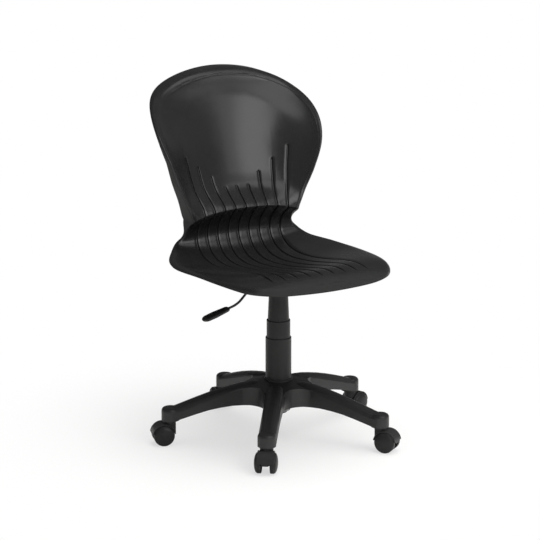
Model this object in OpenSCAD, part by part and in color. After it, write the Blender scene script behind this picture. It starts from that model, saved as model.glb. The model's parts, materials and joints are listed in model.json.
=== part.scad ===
// Swivel task chair with a one-piece moulded shell, gas column and five-arm caster base.
// Front is -Y, up is +Z, the floor is z = 0 and the swivel axis is x = y = 0.

/* [Seat shell] */
// Overall width of the seat
seat_w = 488; // [450:1:520]
// Length of the seat, from its front edge to the riser
seat_l = 440; // [410:1:465]
// Width of the back at its widest
back_w = 464; // [430:1:500]
// Height of the shell above the low point of the dish
shell_h = 460; // [430:1:490]
// Height of the dish's low point above the floor, at rest
seat_h = 425; // [420:1:440]
// Wall of the shell
shell_t = 4.5; // [4:0.5:5]
// Width of the rounded border beside the seat
rim_w = 22; // [18:1:26]
// Deepest return of the edge, at the waist
rim_deep = 57; // [48:1:62]
// Height over which the edge rolls back
rim_roll = 10; // [8:1:12]
// Spacing of the grooves at the waist
groove_pitch = 29.7; // [28:0.1:31]
// Width of a groove
groove_w = 5.6; // [4:0.1:7]
// Depth of a groove
groove_d = 2.5; // [1:0.1:3]

/* [Seat fixing] */
// Spacing of the seat bolts across the chair
bolt_dx = 150; // [140:1:160]
// Spacing of the seat bolts from front to back
bolt_dy = 150; // [140:1:156]
// Diameter of a seat bolt
bolt_d = 6; // [5:0.5:6.5]
// Diameter of a bolt boss under the seat
boss_d = 18; // [16:1:22]
// Width of the pan's flange
pan_w = 190; // [184:1:200]
// Length of the pan's flange
pan_l = 182; // [180:1:190]
// Width and length of the pan's box
pan_box = 110; // [104:1:114]
// Sheet thickness of the pan
pan_t = 2.5; // [2:0.25:3]
// Depth of the pan
pan_h = 28; // [27:0.5:30]

/* [Column] */
// Diameter of the lower cover
cover_d = 64; // [62:0.5:68]
// Wall of the column covers
cover_t = 1.8; // [1.4:0.1:2]
// Length of the lower and middle covers
cover_l = 108; // [100:1:112]
// Part of the middle cover that shows at rest
middle_show = 44; // [38:1:48]
// Part of the upper cover that lies hidden at rest
upper_hidden = 40; // [34:1:44]
// Diameter of the upper cover at its top
upper_top_d = 48; // [47:0.5:50]
// Diameter of the stand tube
stand_d = 44; // [42:0.5:45]
// Wall of the stand tube
stand_t = 2; // [1.5:0.25:2.5]
// Height of the stand tube's top above the hub
stand_rise = 100; // [90:1:102]
// Diameter of the gas cylinder
cyl_d = 28; // [27:0.5:29]
// Diameter of the piston rod
rod_d = 10; // [8:0.5:11]
// Diameter of the release pin
pin_d = 8; // [6:0.5:9]
// Travel below the rest height
travel_down = 45; // [40:1:45]
// Travel above the rest height
travel_up = 55; // [50:1:55]

/* [Base] */
// Distance from the swivel axis to a caster stem
stem_r = 275; // [260:1:290]
// Height of the hub's top above the floor
hub_h = 150; // [146:1:156]
// Width of an arm across its walls
arm_w = 44; // [40:1:48]
// Wall of the base
arm_t = 4; // [3.5:0.5:5]
// Radius of the web between two arms
web_r = 56; // [46:1:64]
// Height of a knuckle
knuckle_h = 33; // [32:1:36]

/* [Casters] */
// Height from the floor to the underside of a knuckle
caster_h = 61.5; // [60:0.5:64]
// Diameter of a wheel
wheel_d = 52; // [49:1:52]
// Overall width across the two wheels
wheels_w = 58; // [56:1:62]
// Gap between the two wheels
wheel_gap = 22; // [20:1:23]
// Distance from the stem to the axle
trail = 15.5; // [14:0.5:18]
// Diameter of a caster stem
stem_d = 11; // [10:0.5:11.5]
// Diameter of an axle
axle_d = 6; // [5:0.5:8]

/* [Lever] */
// Diameter of the lever rod
lever_d = 6; // [5:0.5:7]
// Length of the grip
grip_l = 76; // [66:1:84]
// Width of the grip
grip_w = 30; // [24:1:32]
// Thickness of the grip
grip_t = 15; // [12:0.5:17]
// Distance from the lever's pivot to the swivel axis
lever_arm = 30; // [28:0.5:32]

/* [Hidden] */
caster_parts = ["stem", "hood", "axle", "wheel_a", "wheel_b"];
$fn = 64;

// Finishes
shell_black = [0.12, 0.12, 0.13];
nylon_black = [0.15, 0.15, 0.16];
cover_black = [0.14, 0.14, 0.15];
wheel_black = [0.1, 0.1, 0.11];
painted_black = [0.08, 0.08, 0.09];
bright_steel = [0.62, 0.63, 0.65];
brass = [0.72, 0.6, 0.32];
rubber_black = [0.05, 0.05, 0.05];

// Clearances and overrun
run = 0.05;
fit = 0.02;
gap = 0.3;
cut = 1;

// Shell: rows across the shell, listed along its middle from the front edge to the top edge.
// Each row: place along the seat, height, half width, set-back of its ends, rise of its ends.
// Shares of seat_l, shell_h, half of seat_w or back_w, seat_l and shell_h.
seat_row_shares = [
  [-0.539, 0.046, 0, 0, 0],
  [-0.534, 0.052, 0.350, 0.004, -0.002],
  [-0.525, 0.061, 0.550, 0.008, -0.007],
  [-0.511, 0.070, 0.680, 0.021, -0.013],
  [-0.486, 0.078, 0.775, 0.040, -0.018],
  [-0.441, 0.085, 0.830, 0.058, -0.017],
  [-0.364, 0.083, 0.875, 0.066, -0.012],
  [-0.261, 0.065, 0.905, 0.066, 0.004],
  [-0.148, 0.043, 0.908, 0.057, 0.023],
  [-0.034, 0.024, 0.910, 0.045, 0.036],
  [0.080, 0.010, 0.908, 0.030, 0.043],
  [0.182, 0.001, 0.900, 0.018, 0.047],
  [0.268, 0.001, 0.866, 0.014, 0.050],
  [0.341, 0.011, 0.814, 0.014, 0.045],
  [0.398, 0.036, 0.740, 0.011, 0.030],
  [0.434, 0.072, 0.680, 0.018, 0.026],
  [0.455, 0.113, 0.632, -0.003, 0.011],
  [0.460, 0.148, 0.602, -0.012, 0],
  [0.448, 0.183, 0.590, -0.016, -0.007],
  [0.418, 0.222, 0.590, -0.018, -0.020],
  [0.386, 0.253, 0.594, -0.016, -0.033]];
back_row_shares = [
  [0.367, 0.267, 0.622, -0.013, -0.037],
  [0.360, 0.277, 0.624, -0.011, -0.039],
  [0.367, 0.288, 0.630, -0.017, -0.037],
  [0.386, 0.307, 0.650, -0.038, -0.028],
  [0.423, 0.333, 0.684, -0.070, -0.015],
  [0.449, 0.354, 0.710, -0.093, -0.008],
  [0.468, 0.375, 0.737, -0.112, -0.002],
  [0.479, 0.390, 0.754, -0.123, -0.001],
  [0.503, 0.437, 0.798, -0.148, 0],
  [0.509, 0.453, 0.811, -0.154, 0],
  [0.526, 0.499, 0.844, -0.171, 0],
  [0.532, 0.515, 0.856, -0.178, 0],
  [0.551, 0.568, 0.890, -0.194, 0],
  [0.557, 0.584, 0.902, -0.194, 0],
  [0.570, 0.624, 0.927, -0.191, 0],
  [0.593, 0.693, 0.950, -0.173, 0],
  [0.616, 0.763, 0.935, -0.130, -0.002],
  [0.636, 0.828, 0.875, -0.084, -0.013],
  [0.653, 0.883, 0.784, -0.050, -0.026],
  [0.666, 0.922, 0.668, -0.030, -0.033],
  [0.674, 0.946, 0.517, -0.016, -0.026],
  [0.678, 0.960, 0.310, -0.006, -0.012],
  [0.681, 0.966, 0, 0, 0]];
// Power of the cross curve on the seat and on the back
seat_power = 2;
back_power = 2.5;
shell_rows = concat(
  [for (r = seat_row_shares) [r[0] * seat_l, seat_h + r[1] * shell_h, r[2] * seat_w / 2,
    r[3] * seat_l, r[4] * shell_h, seat_power]],
  [for (r = back_row_shares) [r[0] * seat_l, seat_h + r[1] * shell_h, r[2] * back_w / 2,
    r[3] * seat_l, r[4] * shell_h, back_power]]);
last_row = len(shell_rows) - 1;
seat_rows = len(seat_row_shares);

// Along the shell's middle line: share of its length at each row
function step_length(i) = i == 0 ? 0
  : norm([shell_rows[i][0] - shell_rows[i - 1][0], shell_rows[i][1] - shell_rows[i - 1][1]]);
path_steps = [for (i = 0, s = 0; i <= last_row; i = i + 1, s = s + (i > last_row ? 0 : step_length(i))) s];
path_l = path_steps[last_row];

// Values along the path, as [share of the path, share of the size that they follow]
thigh_lift_shares = [[0, 0], [0.05, 0.004], [0.12, 0.011], [0.22, 0.011], [0.32, 0.004], [0.38, 0], [1, 0]];
rim_out_shares = [[0, 0.27], [0.02, 0.36], [0.05, 0.6], [0.09, 0.73], [0.2, 0.82], [0.3, 1], [0.4, 1],
  [0.44, 0.92], [0.47, 0.8], [0.49, 0.62], [0.515, 0.42], [0.54, 0.34], [0.6, 0.32], [0.68, 0.4], [0.75, 0.5],
  [0.8, 0.55], [0.86, 0.62], [0.93, 0.72], [1, 0.78]];
rim_deep_shares = [[0, 0.28], [0.06, 0.22], [0.11, 0.15], [0.16, 0.14], [0.27, 0.16], [0.33, 0.18], [0.4, 0.21],
  [0.47, 0.26], [0.49, 0.28], [0.515, 0.24], [0.53, 0.21], [0.55, 0.32], [0.575, 0.64], [0.6, 0.9],
  [0.615, 1.06], [0.63, 1.06], [0.65, 0.94], [0.69, 0.75], [0.75, 0.6], [0.79, 0.5], [0.82, 0.4],
  [0.856, 0.28], [0.893, 0.22], [0.927, 0.3], [0.956, 0.52], [0.975, 0.68], [1, 0.64]];
// Angle of the return below the horizontal
rim_angles = [[0, 90], [0.4, 90], [0.44, 80], [0.465, 65], [0.49, 50], [0.515, 38], [0.53, 30],
  [0.55, 15], [0.575, 5], [0.6, 0], [0.9, 3], [1, 0]];
// Spread of the grooves, as a share of their pitch
groove_spread_shares = [[0, 1.11], [0.05, 1.11], [0.1, 1.09], [0.15, 1.06], [0.2, 1.01], [0.25, 1],
  [0.35, 1.03], [0.45, 1.02], [0.5, 1], [0.63, 1], [0.67, 1.06], [0.7, 1.12], [0.73, 1.15], [0.8, 1.25], [1, 1.3]];
// Height at which each groove ends on the back, from the middle one outwards
groove_top_shares = [0.382, 0.382, 0.445, 0.507, 0.576];
groove_front_share = -0.5;
side_grooves = 4;
side_cols = 3;
back_cols = 8;
edge_share = 0.95;
// A neighbouring row counts up to this share of its half width
reach_share = 1.2;
share_step = 0.01;
roll_share = 0.8;
bottom_share = 0.5;
dish_rows = [4:12];

// Heights that the pieces share, and their small sizes
chamfer = 1;
boss_drop = 11;
boss_z = seat_h - boss_drop;
insert_d = 9;
insert_l = 9;
bolt_reach = 8;
bolt_head_d = 11;
bolt_head_h = 3.5;
hex_w = 5.5;
hex_deep = 2;

pan_z = boss_z - pan_h;
pan_corner = 14;
box_corner = 8;
pan_lip = 8;
socket_r = 20;
socket_below = 22;
socket_above = 8;
socket_z = pan_z - socket_below;
socket_top = pan_z + socket_above;
cone_l = 28;
cone_drop = 0.8;

lower_r = cover_d / 2;
cover_step = 1;
middle_r = lower_r - cover_t - cover_step;
upper_r = middle_r - cover_t - cover_step;
flare_out = 3.3;
flare_r = lower_r + flare_out;
flare_h = 6;
lip_h = 3;
middle_z = hub_h + middle_show;
upper_z = middle_z + cover_l - upper_hidden;
// The upper cover reaches from the middle one to just under the pan
pan_gap = 10;
upper_top = pan_z - pan_gap;
upper_straight_share = 0.377;
upper_cone_share = 0.5;
collar_t = 3;

stand_r = stand_d / 2;
stand_in_r = stand_r - stand_t;
stand_top = hub_h + stand_rise;
stand_deep = 84;
stand_low = hub_h - stand_deep;
stand_drop = 0.6;
stand_floor = 3;
guide_l = 60;
rod_r = rod_d / 2;
rod_below = 6;
rod_short = 4;
rod_low = stand_low - rod_below;
rod_top = stand_top - rod_short;
clip_t = 1.4;
clip_d = 18;
clip_z = stand_low - gap - clip_t;
groove_drop = 1.2;
washer_t = 1.5;
washer_r = 12;
ball_d = 4;
ball_ring_r = 9;
ball_count = 8;
ball_z = stand_low + stand_floor + washer_t + run + ball_d / 2;
washer_up_z = ball_z + ball_d / 2 + run;
shoulder_z = washer_up_z + washer_t;
shoulder_r = 7;
shoulder_h = 4;
bump_z = shoulder_z + shoulder_h;
bump_h = 14;
bump_r = 13;
head_h = 14;
seal_drop = 1.5;
seal_h = 4;

cyl_r = cyl_d / 2;
cyl_low = bump_z + bump_h + travel_down + chamfer;
cyl_top = socket_z + cone_l;
cyl_wall = 2;
neck_l = 15;
valve_l = 52;
pin_r = pin_d / 2;
pin_rise = 6;
pin_top = cyl_top + pin_rise;

lever_rise = 3;
lever_z = pin_top + lever_rise;
lever_tube_r = 6;
lever_tube_l = 16;
finger_w = 8;
finger_t = 4.6;
finger_tip_r = 3;
lever_out = 28;
lever_bend_r = 30;
lever_bend = 45;
lever_fall = 35;
lever_back_r = 60;
lever_back = 29;
lever_run = 10;
lever_in_grip = 30;
// Half length, half thickness and half width of the grip's neck, belly and tip, as shares
neck_t_share = 0.42;
neck_w_share = 0.37;
belly_place_share = 0.55;
belly_l_share = 0.6;
belly_w_share = 0.48;
tip_t_share = 0.45;
joint = 1;
ear_t = 2.5;
ear_r = 8;
ear_in = lever_tube_l / 2 + gap;
ear_out = ear_in + ear_t;
slot_w = 12;
slot_h = 14;
pivot_d = 6;
pivot_head_d = 9;
pivot_head_t = 1.5;

hub_tube_r = 27;
hub_tube_z = 72;
hub_ring_t = 2.5;
hub_ring_h = 12;
hub_flat_r = 42;
roof_slope = 0.241;
web_z = 94.5;
web_reach = 107;
web_overlap = 1;
web_centre = (arm_w / 2 - web_overlap + web_r) / sin(36);
ridge_half = 6;
arm_round = 5;
ring_out_r = hub_tube_r + fit + hub_ring_t;
// The arms' walls start just outside the ring round the hub tube
arm_in = sqrt(pow(ring_out_r + gap, 2) - pow(arm_w / 2 - arm_t, 2));
knuckle_over = 0.5;
knuckle_r = arm_w / 2 + knuckle_over;
knuckle_in = 3.5;
knuckle_round = 9;
stem_wall = 4.5;
pocket_h = 20;

stem_r2 = stem_d / 2;
stem_deep = 30.5;
stem_low = 34;
stem_collar_d = 16;
stem_groove_z = 18.5;
stem_groove_h = 3;
stem_groove_drop = 1.2;
wheel_r = wheel_d / 2;
wheel_gap_r = 1;
fender_t = 2.5;
fender_half = 20;
fender_z = 30;
spine_half = 8.5;
spine_z = 24.5;
collar_r = 16.5;
collar_drop = 2;
axle_half = 24;
tread_w = 10;
rim_hub_r = 8;
rim_in_r = 22;
rim_in_deep = 8;

// Arm of the base: place from arm_in to stem_r, and ridge, shoulder and lower edge as shares of hub_h
arm_shares = [
  [0, 0.98, 0.947, 0.54],
  [0.08, 0.985, 0.947, 0.57],
  [0.164, 0.997, 0.94, 0.613],
  [0.283, 0.967, 0.927, 0.625],
  [0.383, 0.932, 0.89, 0.625],
  [0.502, 0.885, 0.825, 0.605],
  [0.622, 0.828, 0.76, 0.573],
  [0.742, 0.763, 0.695, 0.522],
  [0.841, 0.705, 0.64, 0.475],
  [0.929, 0.652, 0.595, 0.433],
  [1, 0.62, 0.57, 0.41]];
// Crown of an arm: place across as a share of its half width, and share of the rise to the ridge
crown_shares = [[0, 1], [0.3, 0.93], [0.55, 0.72], [0.77, 0.4]];
round_share = 0.3;

function path_share(i) = path_steps[i] / path_l;
function unit(v) = v / norm(v);
function row_lift(i) = shell_h * lookup(path_share(i), thigh_lift_shares);

// Point of the sitting surface on row i, at share u of its half width
function row_point(i, u) =
  let (r = shell_rows[i], v = abs(u), f = pow(v, r[5]), g = 4 * v * v * (1 - v * v))
  [u * r[2], r[0] + r[3] * f, r[1] + r[4] * f + row_lift(i) * g];
// Point of row k that lies straight ahead of share u of row i
function same_x_point(k, i, u) =
  row_point(k, shell_rows[k][2] == 0 ? 0 : u * shell_rows[i][2] / shell_rows[k][2]);
function row_normal(i, u) =
  let (x = abs(u) * shell_rows[i][2],
    hi = i < last_row && shell_rows[min(i + 1, last_row)][2] * reach_share >= x ? i + 1 : i,
    lo = i > 0 && shell_rows[max(i - 1, 0)][2] * reach_share >= x ? i - 1 : i,
    along = same_x_point(hi, i, u) - same_x_point(lo, i, u),
    across = shell_rows[i][2] == 0 ? [1, 0, 0] : row_point(i, u + share_step) - row_point(i, u - share_step))
  unit(cross(across, along));

// Grooves
function groove_scale(i) = min(lookup(path_share(i), groove_spread_shares),
  edge_share * shell_rows[i][2] / (side_grooves * groove_pitch));
function groove_x(i, j) = j * groove_pitch * groove_scale(i);
function groove_half(i) = min(groove_w / 2, groove_x(i, 1) / 4);
function groove_cut(i, j) =
  let (y_share = shell_rows[i][0] / seat_l, z_share = (shell_rows[i][1] - seat_h) / shell_h)
  y_share > groove_front_share && z_share < groove_top_shares[abs(j)] ? groove_d : 0;

// Columns of row i, each as place across and depth
function row_columns(i) =
  let (w = shell_rows[i][2], h = groove_half(i), b = h * bottom_share, g = side_grooves,
    free = w - groove_x(i, g) - h)
  concat(
    [for (k = [0:side_cols]) [-w + k * free / (side_cols + 1), 0]],
    [for (j = [-g:g], k = [0:(j < g ? 4 : 3)])
      k == 0 ? [groove_x(i, j) - h, 0]
      : k == 1 ? [groove_x(i, j) - b, groove_cut(i, j)]
      : k == 2 ? [groove_x(i, j) + b, groove_cut(i, j)]
      : k == 3 ? [groove_x(i, j) + h, 0]
      : [(groove_x(i, j) + groove_x(i, j + 1)) / 2, 0]],
    [for (k = [side_cols:-1:0]) [w - k * free / (side_cols + 1), 0]]);
function front_point(i, c) =
  let (u = c[0] / shell_rows[i][2])
  row_point(i, u) - row_normal(i, u) * c[1];

// Rolled edge: loop of the shell's outline, front, right side, top, left side
outline = concat([[0, 0]], [for (i = [1:last_row - 1]) [i, 1]], [[last_row, 0]],
  [for (i = [last_row - 1:-1:1]) [i, -1]]);
loop_n = len(outline);
roll_angles = [30, 60, 90];
rim_rings = len(roll_angles) + 3;
function outline_point(m) = let (o = outline[(m + loop_n) % loop_n]) row_point(o[0], o[1]);
function rim_point(m, k) =
  let (o = outline[m], i = o[0], s = path_share(i), v = outline_point(m),
    out = rim_w * lookup(s, rim_out_shares), deep = rim_deep * lookup(s, rim_deep_shares),
    angle = lookup(s, rim_angles), roll = min(rim_roll, deep * roll_share),
    side = unit(cross(outline_point(m + 1) - outline_point(m - 1), row_normal(i, o[1]))),
    rear = [0, cos(angle), -sin(angle)])
  k < len(roll_angles)
    ? v + side * out * sin(roll_angles[k]) + rear * roll * (1 - cos(roll_angles[k]))
  : k == len(roll_angles) ? v + side * out + rear * deep
  : k == len(roll_angles) + 1 ? v + side * (out - shell_t) + rear * deep
  : v + side * (out - shell_t) + rear * max(roll, shell_t);

function back_point(i, u) = row_point(i, u) - row_normal(i, u) * shell_t;

module shell_skin() {
  cols = len(row_columns(1));
  bcols = 2 * back_cols + 1;
  inner_rows = last_row - 1;
  front_pts = concat([row_point(0, 0)],
    [for (i = [1:inner_rows], c = row_columns(i)) front_point(i, c)],
    [row_point(last_row, 0)]);
  rim_pts = [for (k = [0:rim_rings - 1], m = [0:loop_n - 1]) rim_point(m, k)];
  back_pts = concat([back_point(0, 0)],
    [for (i = [1:inner_rows], k = [-back_cols:back_cols]) back_point(i, k / back_cols)],
    [back_point(last_row, 0)]);
  rim0 = len(front_pts);
  back0 = rim0 + len(rim_pts);
  function f_id(i, c) = i == 0 ? 0 : i == last_row ? rim0 - 1 : 1 + (i - 1) * cols + c;
  function b_id(i, c) = back0 + (i == 0 ? 0 : i == last_row ? inner_rows * bcols + 1 : 1 + (i - 1) * bcols + c);
  function ring_id(k, m0) =
    let (m = m0 % loop_n, o = outline[m])
    k == 0 ? f_id(o[0], o[1] > 0 ? cols - 1 : 0)
    : k <= rim_rings ? rim0 + (k - 1) * loop_n + m
    : b_id(o[0], o[1] > 0 ? bcols - 1 : 0);
  faces = concat(
    [for (c = [0:cols - 2]) [f_id(0, 0), f_id(1, c), f_id(1, c + 1)]],
    [for (i = [1:inner_rows - 1], c = [0:cols - 2], t = [0, 1])
      t == 0 ? [f_id(i, c), f_id(i + 1, c), f_id(i + 1, c + 1)]
      : [f_id(i, c), f_id(i + 1, c + 1), f_id(i, c + 1)]],
    [for (c = [0:cols - 2]) [f_id(last_row, 0), f_id(inner_rows, c + 1), f_id(inner_rows, c)]],
    [for (k = [0:rim_rings], m = [0:loop_n - 1], t = [0, 1])
      t == 0 ? [ring_id(k, m), ring_id(k, m + 1), ring_id(k + 1, m + 1)]
      : [ring_id(k, m), ring_id(k + 1, m + 1), ring_id(k + 1, m)]],
    [for (c = [0:bcols - 2]) [b_id(0, 0), b_id(1, c + 1), b_id(1, c)]],
    [for (i = [1:inner_rows - 1], c = [0:bcols - 2], t = [0, 1])
      t == 0 ? [b_id(i, c), b_id(i + 1, c + 1), b_id(i + 1, c)]
      : [b_id(i, c), b_id(i, c + 1), b_id(i + 1, c + 1)]],
    [for (c = [0:bcols - 2]) [b_id(last_row, 0), b_id(inner_rows, c), b_id(inner_rows, c + 1)]]);
  polyhedron(points = concat(front_pts, rim_pts, back_pts), faces = faces, convexity = 10);
}

// Height of the sitting surface at a place on the dish
function dish_z(x, y) =
  lookup(y, [for (i = dish_rows) let (p = row_point(i, x / shell_rows[i][2])) [p[1], p[2]]]);
module at_bolts() {
  for (x = [-bolt_dx / 2, bolt_dx / 2], y = [-bolt_dy / 2, bolt_dy / 2]) translate([x, y, boss_z]) children();
}
module seat_shell() {
  color(shell_black) difference() {
    union() {
      shell_skin();
      for (x = [-bolt_dx / 2, bolt_dx / 2], y = [-bolt_dy / 2, bolt_dy / 2])
        translate([x, y, boss_z]) cylinder(d = boss_d, h = dish_z(x, y) - shell_t / 2 - boss_z);
    }
    at_bolts() translate([0, 0, -cut]) cylinder(d = insert_d + 2 * fit, h = insert_l + cut);
  }
}

// Round pieces about the swivel axis
module turned(points) { rotate_extrude() polygon(points); }
module tube(inner_r, outer_r, z, h) {
  turned([[inner_r, z], [outer_r, z], [outer_r, z + h], [inner_r, z + h]]);
}
function round_over(c, r, h, n = 4) = [for (k = [0:n]) c + [r * cos(90 * k / n), h * sin(90 * k / n)]];

module seat_inserts() {
  color(brass) at_bolts() tube(bolt_d / 2 + fit, insert_d / 2, 0, insert_l);
}
module seat_bolts() {
  color(painted_black) at_bolts() {
    difference() {
      translate([0, 0, -pan_t - bolt_head_h]) cylinder(d = bolt_head_d, h = bolt_head_h);
      translate([0, 0, -pan_t - bolt_head_h - cut]) cylinder(d = hex_w, h = hex_deep + cut, $fn = 6);
    }
    translate([0, 0, -pan_t]) cylinder(d = bolt_d, h = pan_t + bolt_reach);
  }
}

// Mechanism under the seat
module plate(w, l, r, h) {
  linear_extrude(h) union() {
    square([w - 2 * r, l], center = true);
    square([w, l - 2 * r], center = true);
    for (x = [-w / 2 + r, w / 2 - r], y = [-l / 2 + r, l / 2 - r]) translate([x, y]) circle(r);
  }
}
module mechanism_pan() {
  color(painted_black) difference() {
    union() {
      translate([0, 0, boss_z - pan_lip]) plate(pan_w, pan_l, pan_corner, pan_lip);
      translate([0, 0, pan_z]) plate(pan_box, pan_box, box_corner, pan_h);
    }
    difference() {
      translate([0, 0, boss_z - pan_lip - cut])
        plate(pan_w - 2 * pan_t, pan_l - 2 * pan_t, pan_corner - pan_t, pan_lip - pan_t + cut);
      translate([0, 0, pan_z]) plate(pan_box, pan_box, box_corner, pan_h);
    }
    translate([0, 0, pan_z + pan_t])
      plate(pan_box - 2 * pan_t, pan_box - 2 * pan_t, box_corner - pan_t, pan_h);
    translate([0, 0, pan_z - cut]) cylinder(r = socket_r + fit, h = pan_t + 2 * cut);
    at_bolts() translate([0, 0, -pan_t - cut]) cylinder(d = bolt_d + 2 * gap, h = pan_t + 2 * cut);
    translate([-pan_box / 2 - cut, -slot_w / 2, lever_z + chamfer - slot_h / 2])
      cube([pan_t + 2 * cut, slot_w, slot_h]);
  }
}
module taper_socket() {
  color(painted_black) turned([[cyl_r + fit, socket_z], [socket_r, socket_z], [socket_r, socket_top],
    [cyl_r - cone_drop + fit, socket_top], [cyl_r - cone_drop + fit, cyl_top]]);
}

// Height lever
module at_pivot() { translate([-lever_arm, 0, lever_z]) children(); }
module across(d, l) { rotate([90, 0, 0]) cylinder(d = d, h = l, center = true); }
module lever_bracket() {
  floor_drop = lever_z - pan_z - pan_t;
  color(painted_black) at_pivot() difference() {
    union() {
      for (side = [-1, 1]) translate([0, side * (ear_in + ear_out) / 2, 0]) {
        across(2 * ear_r, ear_t);
        translate([-ear_r, -ear_t / 2, -floor_drop]) cube([2 * ear_r, ear_t, floor_drop]);
      }
      translate([-ear_r, -ear_out, -floor_drop]) cube([2 * ear_r, 2 * ear_out, ear_t]);
    }
    across(pivot_d + 2 * fit, 3 * ear_out);
  }
}
module lever_pivot() {
  color(bright_steel) at_pivot() {
    across(pivot_d, 2 * (ear_out + gap));
    for (side = [-1, 1])
      translate([0, side * (ear_out + gap + pivot_head_t / 2), 0]) across(pivot_head_d, pivot_head_t);
  }
}
// The rod runs in the plane y = 0: out of the pan, down through one bend, then flat through another
module lever_plane() { rotate([90, 0, 0]) children(); }
// Straight stretches end inside the bends, which are slightly thicker
module straight(l) { translate([joint, 0]) rotate([0, -90, 0]) cylinder(d = lever_d, h = l + 2 * joint); }
module bend(r, angle, start) {
  rotate_extrude(start = start, angle = angle) translate([r, 0]) circle(d = lever_d + 2 * run);
}
module after_out() { translate([-lever_out, 0]) children(); }
module after_bend() {
  after_out() translate([-lever_bend_r * sin(lever_bend), -lever_bend_r * (1 - cos(lever_bend))])
    rotate(lever_bend) children();
}
module after_fall() { after_bend() translate([-lever_fall, 0]) children(); }
module after_back() {
  after_fall() translate([-lever_back_r * sin(lever_back), lever_back_r * (1 - cos(lever_back))])
    rotate(-lever_back) children();
}
module lever_rod() {
  finger_low = pin_top + chamfer - lever_z;
  color(painted_black) at_pivot() difference() {
    union() {
      across(2 * lever_tube_r, lever_tube_l);
      translate([0, -finger_w / 2, finger_low]) cube([lever_arm, finger_w, finger_t]);
      translate([lever_arm, 0, pin_top + gap + finger_tip_r - lever_z]) across(2 * finger_tip_r, finger_w);
      lever_plane() {
        straight(lever_out);
        after_out() translate([0, -lever_bend_r]) bend(lever_bend_r, lever_bend, 90);
        after_bend() straight(lever_fall);
        after_fall() translate([0, lever_back_r]) bend(lever_back_r, lever_back, 270 - lever_back);
        after_back() straight(lever_run + lever_in_grip);
      }
    }
    across(pivot_d + 2 * run, 2 * lever_tube_l);
  }
}
module lever_grip() {
  color(nylon_black) at_pivot() lever_plane() after_back() translate([-lever_run, 0]) difference() {
    hull() {
      translate([-grip_t / 2, 0])
        scale([grip_t / 2, neck_t_share * grip_t, neck_w_share * grip_w]) sphere(1, $fn = 32);
      translate([-belly_place_share * grip_l, 0])
        scale([belly_l_share * grip_w, grip_t / 2, belly_w_share * grip_w]) sphere(1, $fn = 32);
      translate([-grip_l + grip_w / 2, 0])
        scale([grip_w / 2, tip_t_share * grip_t, grip_w / 2]) sphere(1, $fn = 32);
    }
    translate([cut, 0]) rotate([0, -90, 0]) cylinder(d = lever_d + 2 * fit, h = lever_in_grip + 2 * cut);
  }
}
module release_pin() {
  z = pin_top - valve_l;
  color(bright_steel) turned([[0, z], [pin_r - chamfer, z], [pin_r, z + chamfer], [pin_r, pin_top - chamfer],
    [pin_r - chamfer, pin_top], [0, pin_top]]);
}

// Gas column
module gas_cylinder() {
  chamber_r = cyl_r - cyl_wall;
  color(painted_black) turned([[rod_r + run, cyl_low], [cyl_r, cyl_low], [cyl_r, socket_z],
    [cyl_r - cone_drop, cyl_top], [pin_r + run, cyl_top], [pin_r + run, cyl_top - valve_l],
    [chamber_r, cyl_top - valve_l], [chamber_r, cyl_low + neck_l], [rod_r + run, cyl_low + neck_l]]);
}
// A cover with a foot outside its lower end and a lip inside its upper end
module cover_shell(r, z, foot_r, foot_h, lip_r) {
  top = z + cover_l;
  in_r = r - cover_t;
  color(cover_black) turned(concat(
    [[in_r, z], [foot_r, z], [foot_r, z + foot_h / 2], [r, z + foot_h]],
    round_over([r - chamfer, top - chamfer], chamfer, chamfer),
    [[lip_r, top], [lip_r, top - lip_h], [in_r, top - 2 * lip_h]]));
}
module cover_lower() { cover_shell(lower_r, hub_h, flare_r, flare_h, middle_r + gap); }
module cover_middle() { cover_shell(middle_r, middle_z, lower_r - cover_t - gap, lip_h, upper_r + gap); }
module cover_upper() {
  top_r = upper_top_d / 2;
  foot_r = middle_r - cover_t - gap;
  rim_z = upper_z + lip_h;
  upper_l = upper_top - upper_z;
  cone_z = upper_z + upper_straight_share * upper_l;
  neck_z = cone_z + upper_cone_share * upper_l;
  color(cover_black) turned(concat(
    [[upper_r - cover_t, upper_z], [foot_r, upper_z], [foot_r, rim_z], [upper_r, rim_z + cover_t],
      [upper_r, cone_z], [top_r, neck_z]],
    round_over([top_r - chamfer, upper_top - chamfer], chamfer, chamfer),
    [[top_r - cover_t, upper_top], [top_r - cover_t, socket_z], [cyl_r + fit, socket_z],
      [cyl_r + fit, socket_z - collar_t], [top_r - cover_t, socket_z - collar_t], [upper_r - cover_t, cone_z]]));
}
module stand_tube() {
  color(painted_black) turned([[rod_r + gap, stand_low], [stand_r - stand_drop, stand_low], [stand_r, hub_h],
    [stand_r, stand_top], [stand_in_r, stand_top], [stand_in_r, stand_low + stand_floor],
    [rod_r + gap, stand_low + stand_floor]]);
}
module column_guide() {
  flange_r = stand_r - chamfer;
  color(nylon_black) turned([[cyl_r + run, stand_top - guide_l], [stand_in_r - fit, stand_top - guide_l],
    [stand_in_r - fit, stand_top], [flange_r, stand_top], [flange_r, stand_top + lip_h],
    [cyl_r + run, stand_top + lip_h]]);
}
module piston_rod() {
  groove_r = rod_r - groove_drop;
  color(bright_steel) turned([[0, rod_low], [rod_r - chamfer, rod_low], [rod_r, rod_low + chamfer],
    [rod_r, clip_z - fit], [groove_r, clip_z - fit], [groove_r, clip_z + clip_t + fit],
    [rod_r, clip_z + clip_t + fit], [rod_r, shoulder_z], [shoulder_r, shoulder_z],
    [shoulder_r, shoulder_z + shoulder_h], [rod_r, shoulder_z + shoulder_h], [rod_r, rod_top], [0, rod_top]]);
}
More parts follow.
